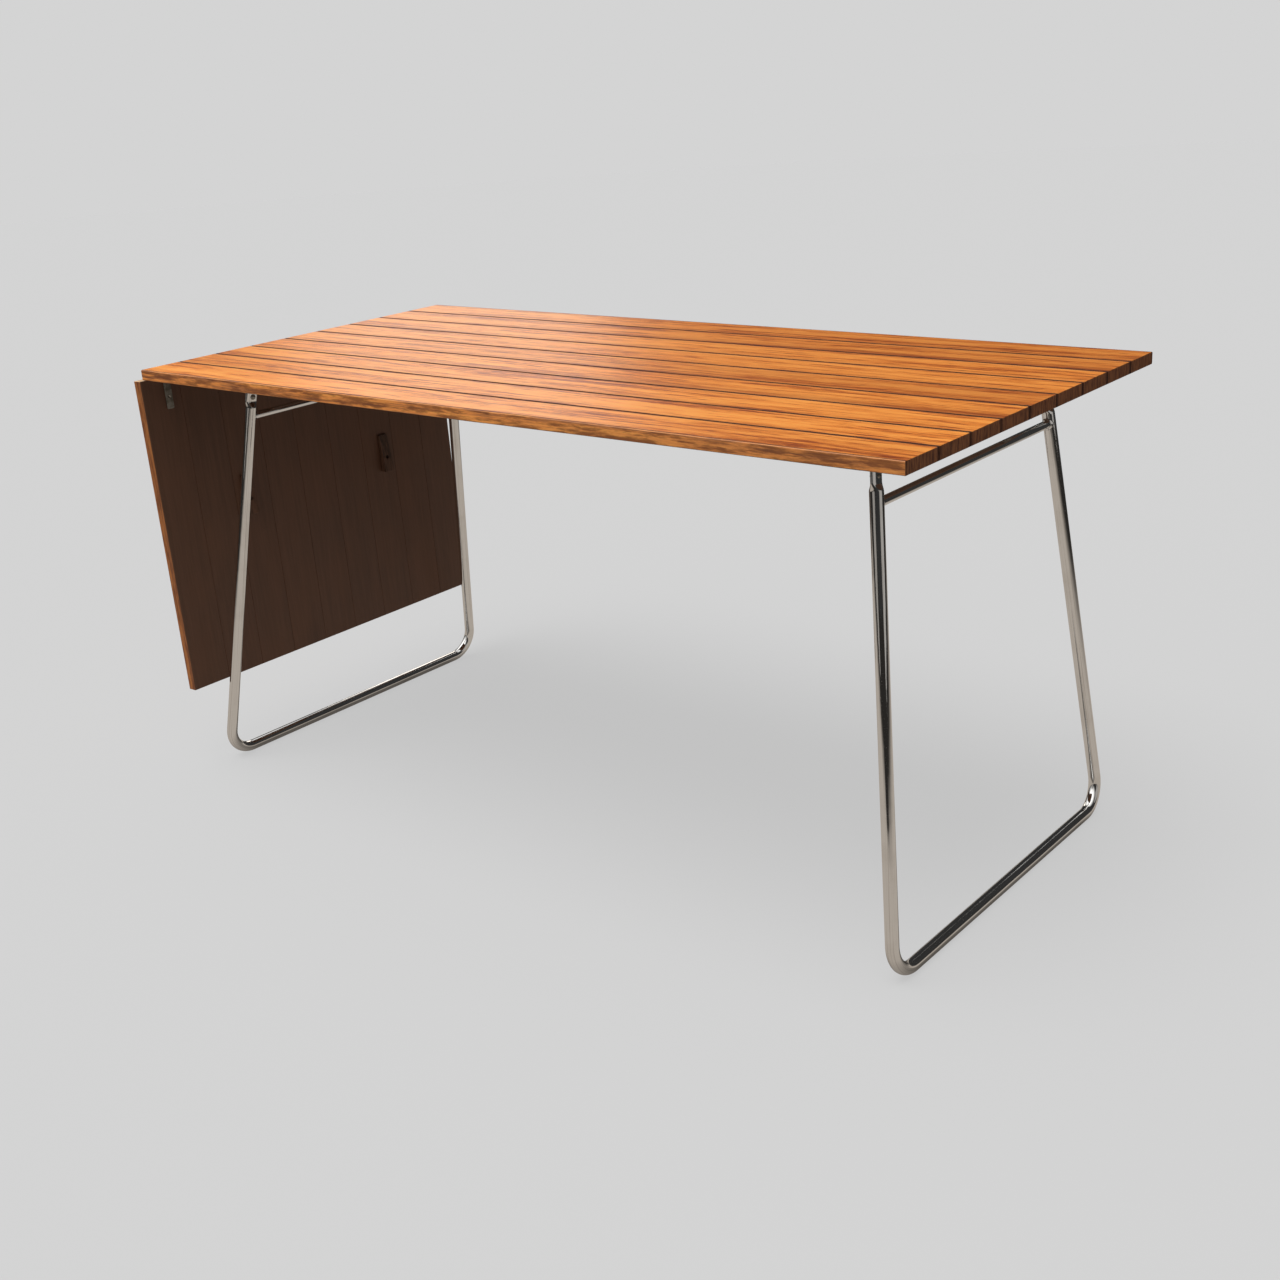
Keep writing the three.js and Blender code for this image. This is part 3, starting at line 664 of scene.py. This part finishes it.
# ---- Crossbars ----
# A thinner chromed rod between the legs of each frame, near the top, coped to the tubes and
# brazed with a small bead all round.
ROD_RADIUS = 6.25 * MM
ROD_DROP = 73.5 * MM
ROD_GAP = 0.3 * MM  # between the rod's coped end and the tube
BEAD = 2.6 * MM
BEAD_ROOT = 0.2 * MM  # how far the bead reaches inside the rod's surface
BEAD_STEPS = 5


def leg_surface(line, rod_z, radius, angle):
    """How far along y a line on the rod, or on the bead round it, meets the far leg's tube."""
    x, z = radius * math.cos(angle), rod_z + radius * math.sin(angle)
    reach = math.sqrt(max(TUBE_RADIUS**2 - x * x, 0.0))
    middle = line.foot_y - z * math.tan(line.slant)
    return middle - reach / math.cos(line.slant)


for end, line in LINES.items():
    rod_z = line.height(underside - ROD_DROP)
    angles = [2 * math.pi * k / TUBE_SIDES for k in range(TUBE_SIDES)]

    def around(radius, setback):
        """A loop round the rod where it meets the tube, set back along the rod."""
        loop = []
        for angle in angles:
            y = leg_surface(line, rod_z, radius, angle) - setback
            loop.append(Vector((radius * math.cos(angle), y, rod_z + radius * math.sin(angle))))
        return loop

    far_end = around(ROD_RADIUS, ROD_GAP)
    near_end = [Vector((p.x, -p.y, p.z)) for p in far_end]
    rod = loft([near_end, far_end])
    node = f"crossbar_{end}"
    shown(f"rod_{end}", rod, CHROME, line.place, "table", [node])
    for side, way in (("near", -1), ("far", 1)):
        loops = [around(ROD_RADIUS - BEAD_ROOT, 0.0)]
        for k in range(BEAD_STEPS + 1):
            turn = k / BEAD_STEPS * math.pi / 2
            radius = ROD_RADIUS + BEAD * (1 - math.cos(turn))
            loops.append(around(radius, BEAD * (1 - math.sin(turn))))
        loops = [[Vector((p.x, p.y * way, p.z)) for p in loop] for loop in loops]
        bead = loft(loops, closed=True)
        name = f"braze_bead_{end}_{side}"
        shown(name, bead, CHROME, line.place, "table", [])

# ---- Leg plates and their screws ----
# A steel plate screwed up into the batten carries an oval tongue inside each pressed tube
# end, and one round-headed screw goes through tube and tongue from inside the table.
PLATE_CORNER = 4 * MM
PLATE_HALF_WIDE = 15 * MM
PLATE_EASE = 0.5 * MM
TONGUE_PLAY = 0.5 * MM
TONGUE_LENGTH = 27.5 * MM
TONGUE_ROOT = 5 * MM  # drawn up past the tube's end, into the plate
TONGUE_TIP_EASE = 1 * MM
HEAD_RADIUS = 3.6 * MM
HEAD_EASE = 0.3 * MM
HEAD_EASE_DEPTH = 0.2 * MM
HEAD_RIM = 0.5 * MM  # the head's straight edge above its cone
SHANK_RADIUS = 1.75 * MM
SCREW_LENGTH = 11 * MM
HOLE_GAP = 0.3 * MM
SLOT_WIDE = 0.9 * MM
SLOT_DEEP = 1.1 * MM
LEG_HEAD_RADIUS = 4.8 * MM
LEG_HEAD_HEIGHT = 3 * MM
LEG_SHANK = 2.5 * MM
LEG_SHANK_EASE = 0.4 * MM
LEG_SLOT_DEEP = 1.4 * MM
DOME_STEPS = 8
LEG_SCREW_DROP = 22 * MM
PLATE_SCREW_SPACING = 40 * MM
ALONG_Z = Matrix.Identity(4)
chance = random.Random(7)


def dull_steel():
    finish = Finish(bpy.data.materials.new("dull_steel"))
    where = finish.node("ShaderNodeTexCoord", {}, {}, "Object")
    brushed = finish.noise(where, 0.0004, 0.02, 2.0, 0.6)
    dark_tone = finish.noise(where, 0.012, 0.012, 4.0, 0.6).rises(0.42, 0.66)
    colour = finish.mix(brushed, paint("8F8B82"), paint("A9A59B"))
    colour = finish.mix(dark_tone * 0.7, colour, paint("5F584C"))
    bump = {"Strength": 0.3, "Distance": 0.00008, "Height": brushed}
    return finish.surface(
        "ShaderNodeBsdfPrincipled",
        {
            "Base Color": colour,
            "Metallic": 1.0,
            "Roughness": 0.34 + dark_tone * 0.22 + brushed * 0.08,
            "Normal": finish.node("ShaderNodeBump", {}, bump),
        },
    )


def screw_steel():
    finish = Finish(bpy.data.materials.new("screw_steel"))
    where = finish.node("ShaderNodeTexCoord", {}, {}, "Object")
    wear = finish.noise(where, 0.0016, 0.0016, 3.0).rises(0.4, 0.7)
    colour = finish.mix(wear, paint("B4B0A6"), paint("6F675B"))
    return finish.surface(
        "ShaderNodeBsdfPrincipled",
        {"Base Color": colour, "Metallic": 1.0, "Roughness": 0.28 + wear * 0.25},
    )


DULL_STEEL = dull_steel()
SCREW_STEEL = screw_steel()


def wood_screw(name, at, up, rides_on, slot_turn, place=TABLE_FRAME):
    """A slotted countersunk wood screw whose flat head is at a point and whose tip is above it."""
    profile = [
        (0, 0),
        (HEAD_RADIUS - HEAD_EASE, 0),
        (HEAD_RADIUS, HEAD_EASE_DEPTH),
        (HEAD_RADIUS, HEAD_RIM),
        (SHANK_RADIUS, HEAD_RADIUS - SHANK_RADIUS + HEAD_RIM),
        (SHANK_RADIUS, SCREW_LENGTH - 2 * SHANK_RADIUS),
        (0, SCREW_LENGTH),
    ]
    body = turned(profile)
    half = Vector((2 * HEAD_RADIUS, SLOT_WIDE / 2, SLOT_DEEP))
    body = worked(body, [block(-half, half)])
    turn = Vector((0, 0, 1)).rotation_difference(up).to_matrix().to_4x4()
    own = Matrix.Translation(at) @ turn @ Matrix.Rotation(slot_turn, 4, "Z")
    slotted = name.replace("screw", "slotted_screw")
    return shown(slotted, body, SCREW_STEEL, place @ own, rides_on, [name])


def screw_hole(at, up, entry):
    """The hole for such a screw: its cone in the piece's face, then its shank."""
    wide, narrow = HEAD_RADIUS + HOLE_GAP, SHANK_RADIUS + HOLE_GAP
    length = SCREW_LENGTH + HOLE_GAP
    profile = [
        (0, -entry),
        (wide, -entry),
        (wide, HEAD_RIM),
        (narrow, wide - narrow + HEAD_RIM),
        (narrow, length),
        (0, length),
    ]
    turn = Vector((0, 0, 1)).rotation_difference(up).to_matrix().to_4x4()
    return turned(profile, Matrix.Translation(at) @ turn)


def leg_screw(label, line, at):
    """A round-headed screw across the tube, its head towards the middle of the table."""
    reach = 2 * FLAT_HALF_THICK + LEG_HEAD_HEIGHT / 2
    profile = [(0, -reach), (LEG_SHANK - LEG_SHANK_EASE, -reach)]
    profile += [(LEG_SHANK, LEG_SHANK_EASE - reach), (LEG_SHANK, 0)]
    for k in range(DOME_STEPS + 1):
        turn = k / DOME_STEPS * math.pi / 2
        profile.append((LEG_HEAD_RADIUS * math.cos(turn), LEG_HEAD_HEIGHT * math.sin(turn)))
    profile[-1] = (0, LEG_HEAD_HEIGHT)
    low = Vector((-2 * LEG_HEAD_RADIUS, -SLOT_WIDE / 2, LEG_HEAD_HEIGHT - LEG_SLOT_DEEP))
    high = Vector((2 * LEG_HEAD_RADIUS, SLOT_WIDE / 2, 2 * LEG_HEAD_HEIGHT))
    body = worked(turned(profile), [block(low, high)])
    inboard = Matrix.Rotation(-line.way * math.pi / 2, 4, "Y")
    seat = Vector((-line.way * (FLAT_HALF_THICK + HOLE_GAP), 0, 0))
    own = Matrix.Translation(at + seat) @ inboard @ Matrix.Rotation(chance.uniform(0, math.pi), 4, "Z")
    node = f"leg_screw_{label}"
    shown(f"round_head_{label}", body, SCREW_STEEL, line.place @ own, "table", [node])


for end, line in LINES.items():
    for side, way in (("near", -1), ("far", 1)):
        label = f"{end}_{side}"
        node = f"leg_plate_{label}"
        low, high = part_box(node)
        plate_bottom = high.z - PLATE_THICK
        middle = Vector(((low.x + high.x) / 2, way * (top_high.y - HEAD_EDGE_INSET), plate_bottom))
        near_edge, far_edge = middle.y - PLATE_HALF_WIDE, middle.y + PLATE_HALF_WIDE
        section = rectangle(low.x, near_edge, high.x, far_edge)
        plate = eased_prism(section, [PLATE_CORNER] * 4, plate_bottom, high.z, PLATE_EASE, ALONG_Z)
        leg_end = line.on_leg(plate_bottom - LEG_END_GAP)
        play = TUBE_WALL + TONGUE_PLAY
        rings = []
        for distance in (-TONGUE_ROOT, TONGUE_LENGTH - TONGUE_TIP_EASE, TONGUE_LENGTH):
            tip = play + (TONGUE_TIP_EASE if distance == TONGUE_LENGTH else 0)
            rings.append([line.place @ p for p in pressed_ring(line, leg_end, distance, tip)])
        tongue = loft(rings)
        if way < 0:
            bmesh.ops.transform(tongue, matrix=Matrix.Diagonal((1, -1, 1, 1)), verts=tongue.verts)
            bmesh.ops.recalc_face_normals(tongue, faces=tongue.faces)
        body = worked(plate, [tongue], "UNION")
        above = block(Vector((low.x - 1, low.y - 1, high.z)), high + Vector((1, 1, 1)))
        spots = [middle + Vector((s * PLATE_SCREW_SPACING / 2, 0, 0)) for s in (-1, 1)]
        up = Vector((0, 0, 1))
        body = worked(body, [above, *[screw_hole(spot, up, PLATE_THICK) for spot in spots]])
        shown(f"tongued_plate_{label}", body, DULL_STEEL, TABLE_FRAME, "table", [node])
        for k, spot in enumerate(spots):
            wood_screw(f"plate_screw_{label}_{k + 1}", spot, up, "table", chance.uniform(0, math.pi))
        at = leg_end - line.up * LEG_SCREW_DROP
        leg_screw(label, line, Vector((0, at.y * way, at.z)))

# ---- Strap hinges ----
# Two narrow steel strap hinges, screwed flat to the undersides. The top's strap is rolled
# round the pin in the middle third of its width, and the leaf's strap in the outer thirds.
KNUCKLE_RADIUS = 4 * MM
PIN_RADIUS = 2 * MM
STRAP_THICK = 2 * MM
STRAP_END_CORNER = 2.5 * MM
STRAP_EASE = 0.6 * MM
STRAP_SCREW_REACH = 33 * MM
KNUCKLE_PLAY = 0.3 * MM
SEAT_GAP = 0.3 * MM  # between the strap's back and the wood
PIN_DOME = 0.6 * MM
ROLL_START = 9 * MM  # along the strap from the pin
ROLL_FROM = math.radians(60)
ROLL_TURN = math.radians(292)
ROLL_STEPS = 40
ROLL_BLEND_STEPS = 7

hinge = next(joint for joint in frame["joints"] if joint["name"] == "leaf_hinge")
pin_line = Vector(hinge["pos_m"])
hang = math.radians(hinge["range_deg"][1])
LEAF_FRAME = Matrix.Translation(pin_line) @ Matrix.Rotation(-hang, 4, "Y")
back_face = underside - pin_line.z - SEAT_GAP  # the strap's back above the pin


def rolled_knuckle(low_y, high_y):
    """The strap's end, curled round the pin, between two places across the strap."""
    line = [Vector((ROLL_START, back_face - STRAP_THICK / 2))]
    radius = (KNUCKLE_RADIUS + PIN_RADIUS + HOLE_GAP) / 2
    for k in range(ROLL_STEPS + 1):
        angle = ROLL_FROM + ROLL_TURN * k / ROLL_STEPS
        blend = min(k / ROLL_BLEND_STEPS, 1.0)
        lift = (back_face - STRAP_THICK / 2 - radius) * (1 - blend) ** 2
        line.append(Vector((radius * math.cos(angle), radius * math.sin(angle) + lift)))
    outer, inner = [], []
    for i, point in enumerate(line):
        ahead = line[min(i + 1, len(line) - 1)] - line[max(i - 1, 0)]
        side = Vector((ahead.y, -ahead.x)).normalized()
        half = (KNUCKLE_RADIUS - PIN_RADIUS - HOLE_GAP) / 2
        outer.append(point + side * half)
        inner.append(point - side * half)
    outline = outer + inner[::-1]
    return loft([[Vector((p.x, y, p.y)) for p in outline] for y in (low_y, high_y)])


def strap(length, width, knuckles, screw_at):
    """A strap that runs from the pin at the origin towards +x, its back up against the wood."""
    section = rectangle(KNUCKLE_RADIUS + KNUCKLE_PLAY, -width / 2, length, width / 2)
    corners = [SHARP * 5, STRAP_END_CORNER, STRAP_END_CORNER, SHARP * 5]
    plate = eased_prism(section, corners, back_face - STRAP_THICK, back_face, STRAP_EASE, ALONG_Z)
    body = worked(plate, [rolled_knuckle(*ends) for ends in knuckles], "UNION")
    return worked(body, [screw_hole(screw_at, Vector((0, 0, 1)), STRAP_THICK)])


def hinge_pin(width):
    half = width / 2
    profile = [(0, -half), (PIN_RADIUS * 0.6, -half), (PIN_RADIUS, PIN_DOME - half)]
    profile += [(PIN_RADIUS, half - PIN_DOME), (PIN_RADIUS * 0.6, half), (0, half)]
    return turned(profile, Matrix.Rotation(math.pi / 2, 4, "X"))


for side in ("near", "far"):
    low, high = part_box(f"table_strap_{side}")
    width, length = high.y - low.y, high.x - pin_line.x
    pin = Matrix.Translation((pin_line.x, (low.y + high.y) / 2, pin_line.z))
    middle = Matrix.Translation((0, (low.y + high.y) / 2, 0))
    leaf_place = LEAF_FRAME @ middle @ Matrix.Rotation(math.pi, 4, "Z")
    third = width / 6
    middle_knuckle = [(-third, third)]
    outer_knuckles = [(-width / 2, -third - KNUCKLE_PLAY), (third + KNUCKLE_PLAY, width / 2)]
    head = Vector((STRAP_SCREW_REACH, 0, back_face - STRAP_THICK))
    node = f"table_strap_{side}"
    body = strap(length, width, middle_knuckle, head)
    shown(f"rolled_{node}", body, DULL_STEEL, pin, "table", [node])
    node = f"leaf_strap_{side}"
    body = strap(length, width, outer_knuckles, head)
    shown(f"rolled_{node}", body, DULL_STEEL, leaf_place, "leaf", [node])
    node = f"hinge_pin_{side}"
    body = hinge_pin(width)
    shown(f"domed_pin_{side}", body, DULL_STEEL, pin, "table", [node])
    up = Vector((0, 0, 1))
    wood_screw(f"table_strap_screw_{side}", head, up, "table", chance.uniform(0, math.pi), pin)
    wood_screw(f"leaf_strap_screw_{side}", head, up, "leaf", chance.uniform(0, math.pi), leaf_place)

# ---- Leaf ----
# Nine shorter boards of the same wood, glued like the top. The leaf is drawn raised, level
# with the top, and set hanging from its pins, so its inner face is the underside, painted dark as shade.
for i in range(STAVE_COUNT):
    lightness = (chance.uniform(0.88, 1.05), chance.uniform(0.88, 1.05))
    dusk = (chance.uniform(0.0, 0.7), chance.uniform(0.0, 0.7))
    stave(f"leaf_stave_{i + 1}", LEAF_FRAME, "leaf", i + 20.0, outer_side(i), lightness, dusk, (0, 1), 0.5)

# ---- Ramps ----
# Two tapered blocks of dark wood on the leaf's underside, each held by one sunk screw. The
# support bars run under them and lift the leaf level.
RAMP_EASE = 1.0 * MM
RAMP_THIN = 4 * MM
RAMP_SCREW_REACH = 44 * MM
for side in ("near", "far"):
    node = f"ramp_{side}"
    low, high = corners_in(node, LEAF_FRAME)
    section = [(low.x, low.z), (high.x, high.z - RAMP_THIN), (high.x, high.z), (low.x, high.z)]
    body = eased_prism(section, [RAMP_EASE] * 4, low.y, high.y, RAMP_EASE, ALONG_Y)
    head = Vector((high.x - RAMP_SCREW_REACH, (low.y + high.y) / 2, high.z - RAMP_THIN))
    up = Vector((0, 0, 1))
    body = worked(body, [screw_hole(head, up, high.z - low.z)])
    shown(f"sunk_{node}", body, DARK_WOOD_ALONG, LEAF_FRAME, "leaf", [node])
    wood_screw(f"ramp_screw_{side}", head, up, "leaf", chance.uniform(0, math.pi), LEAF_FRAME)

# ---- Studio ----
# A pale floor and backdrop, a soft overhead glow, and one window-sized soft light behind the
# leaf end. What the chrome and the shaded faces see below them is a glowing card for a dull wooden
# floor, with a painted pool of light round the table and painted shadow under the foot bars.
FLOOR_RADIUS = 14.0
FLOOR_GREY = 0.05
FLOOR_GLOW = 0.5241
FLOOR_SUN = 5.4
FLOOR_SUN_SPREAD = math.radians(43)
FLOOR_SUN_FROM = (-0.12, -0.26, 1.0)
DULL_NEAR = (0.47, 0.42, 0.37, 1)
DULL_FAR = (0.025, 0.023, 0.021, 1)
BACKDROP_GREY = 0.658
WALL_HEIGHT = 9.0
SKY_AXIS = Vector((-0.25, -0.30, 0.92)).normalized()
SKY_GLOW = 1.75
SKY_LOW = 0.035


def disc(name, radius, height, material):
    body = bmesh.new()
    bmesh.ops.create_circle(body, cap_ends=True, segments=96, radius=radius)
    mesh = bpy.data.meshes.new(name)
    body.to_mesh(mesh)
    body.free()
    mesh.materials.append(material)
    made = bpy.data.objects.new(name, mesh)
    made.location.z = height
    bpy.context.scene.collection.objects.link(made)
    made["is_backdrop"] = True
    return made


pale = Finish(bpy.data.materials.new("pale_floor"))
pale_floor = pale.surface(
    "ShaderNodeBsdfPrincipled",
    {
        "Base Color": (FLOOR_GREY, FLOOR_GREY, FLOOR_GREY, 1),
        "Roughness": 1.0,
        "Specular IOR Level": 0.0,
        "Emission Color": (1, 1, 1, 1),
        "Emission Strength": FLOOR_GLOW,
    },
)
floor = disc("floor", FLOOR_RADIUS, 0.0, pale_floor)
floor.visible_diffuse = floor.visible_glossy = floor.visible_shadow = False

dull = Finish(bpy.data.materials.new("glowing_floor_card"))
spot = dull.node("ShaderNodeTexCoord", {}, {}, "Object")


def away_from(x, y):
    offset = dull.vector("SUBTRACT", spot, (x, y, 0.0))
    return dull.node("ShaderNodeVectorMath", {"operation": "LENGTH"}, {0: offset}, "Value")


# Painted light: the card glows brighter round the table and fades to dark further out, a painted pool of
# light, and it is painted dark round the spot below the camera.
glow = dull.mix(away_from(-0.1, -0.2).rises(1.3, 3.0), DULL_NEAR, DULL_FAR)
glow = dull.mix(away_from(1.70, -1.95).rises(0.50, 0.95), DULL_FAR, glow)
reach = dull.node("ShaderNodeSeparateXYZ", {}, {0: spot}, "X")
# Painted shadow: the card is darker under the two foot bars.
painted_bar_shadow = 1 - abs(abs(reach) - 0.70).rises(0.025, 0.09)
painted_bar_shadow = painted_bar_shadow * (1 - abs(reach.part("Y")).rises(0.24, 0.36))
glow = dull.mix(painted_bar_shadow * 0.8, glow, DULL_FAR)
glowing_floor_card = dull.surface("ShaderNodeEmission", {"Color": glow})
card = disc("glowing_floor_card", FLOOR_RADIUS, -0.001, glowing_floor_card)
card.visible_camera = False

wall = Finish(bpy.data.materials.new("backdrop"))
wall_grey = wall.surface("ShaderNodeEmission", {"Color": (BACKDROP_GREY, BACKDROP_GREY, BACKDROP_GREY, 1)})
body = bmesh.new()
bmesh.ops.create_cone(
    body, cap_ends=False, segments=96, radius1=FLOOR_RADIUS, radius2=FLOOR_RADIUS, depth=WALL_HEIGHT
)
mesh = bpy.data.meshes.new("backdrop")
body.to_mesh(mesh)
body.free()
mesh.materials.append(wall_grey)
backdrop = bpy.data.objects.new("backdrop", mesh)
backdrop.location.z = WALL_HEIGHT / 2
bpy.context.scene.collection.objects.link(backdrop)
backdrop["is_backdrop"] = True
backdrop.visible_diffuse = backdrop.visible_glossy = backdrop.visible_shadow = False

world = bpy.data.worlds.new("studio")
bpy.context.scene.world = world
sky = Finish(world)
toward = sky.node("ShaderNodeTexCoord", {}, {}, "Generated")
settings = {"operation": "DOT_PRODUCT"}
overhead = sky.node("ShaderNodeVectorMath", settings, {0: toward, 1: SKY_AXIS}, "Value")
brightness = SKY_LOW + overhead.rises(0.30, 0.95) * SKY_GLOW
sky.surface("ShaderNodeBackground", {"Color": brightness, "Strength": 1.0})


def panel(name, start, end, bottom, top, colour):
    """An upright sheet that only shows in polished and oiled surfaces."""
    sheet = Finish(bpy.data.materials.new(name))
    light = sheet.surface("ShaderNodeEmission", {"Color": (*colour, 1), "Strength": 1.0})
    body = bmesh.new()
    corners = [(*start, bottom), (*end, bottom), (*end, top), (*start, top)]
    body.faces.new([body.verts.new(corner) for corner in corners])
    mesh = bpy.data.meshes.new(name)
    body.to_mesh(mesh)
    body.free()
    mesh.materials.append(light)
    made = bpy.data.objects.new(name, mesh)
    bpy.context.scene.collection.objects.link(made)
    made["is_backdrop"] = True
    made.visible_camera = made.visible_diffuse = made.visible_shadow = False


panel("window_light", (-4.55, 3.0), (-2.55, 3.0), 0.85, 2.45, (2.2, 2.04, 1.86))
panel("black_flag", (-2.5, 3.05), (7.0, 3.05), 0.0, 5.0, (0.035, 0.035, 0.035))
panel("pale_side_card", (4.0, -1.3), (4.0, 1.7), 0.0, 1.9, (0.42, 0.40, 0.38))
panel("pale_front_card", (-1.6, -4.0), (0.6, -4.0), 0.0, 1.7, (0.34, 0.32, 0.30))

# A broad soft lamp that lights only the floor, so the table stands in one quiet pool of shade.
lamp = bpy.data.lights.new("floor_lamp", "SUN")
lamp.energy = FLOOR_SUN
lamp.angle = FLOOR_SUN_SPREAD
floor_lamp = bpy.data.objects.new("floor_lamp", lamp)
floor_lamp.rotation_euler = Vector(FLOOR_SUN_FROM).to_track_quat("Z", "Y").to_euler()
bpy.context.scene.collection.objects.link(floor_lamp)
lit = bpy.data.collections.new("lit_by_floor_lamp")
lit.objects.link(floor)
floor_lamp.light_linking.receiver_collection = lit

# ---- Camera ----
# Stands off the far end's near corner, about half a metre above the top, and looks down along
# the table towards the leaf.
CAMERA_AT = (1.6883, -1.93249, 1.19861)
CAMERA_TURN = [math.radians(angle) for angle in (69.818, 3.648, 39.078)]
LENS = 45.82
eye = bpy.data.cameras.new("camera")
eye.lens, eye.sensor_width = LENS, 36.0
camera = bpy.data.objects.new("camera", eye)
camera.location = CAMERA_AT
camera.rotation_euler = CAMERA_TURN
bpy.context.scene.collection.objects.link(camera)
bpy.context.scene.camera = camera
bpy.context.scene.view_settings.view_transform = "Standard"

low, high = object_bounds()
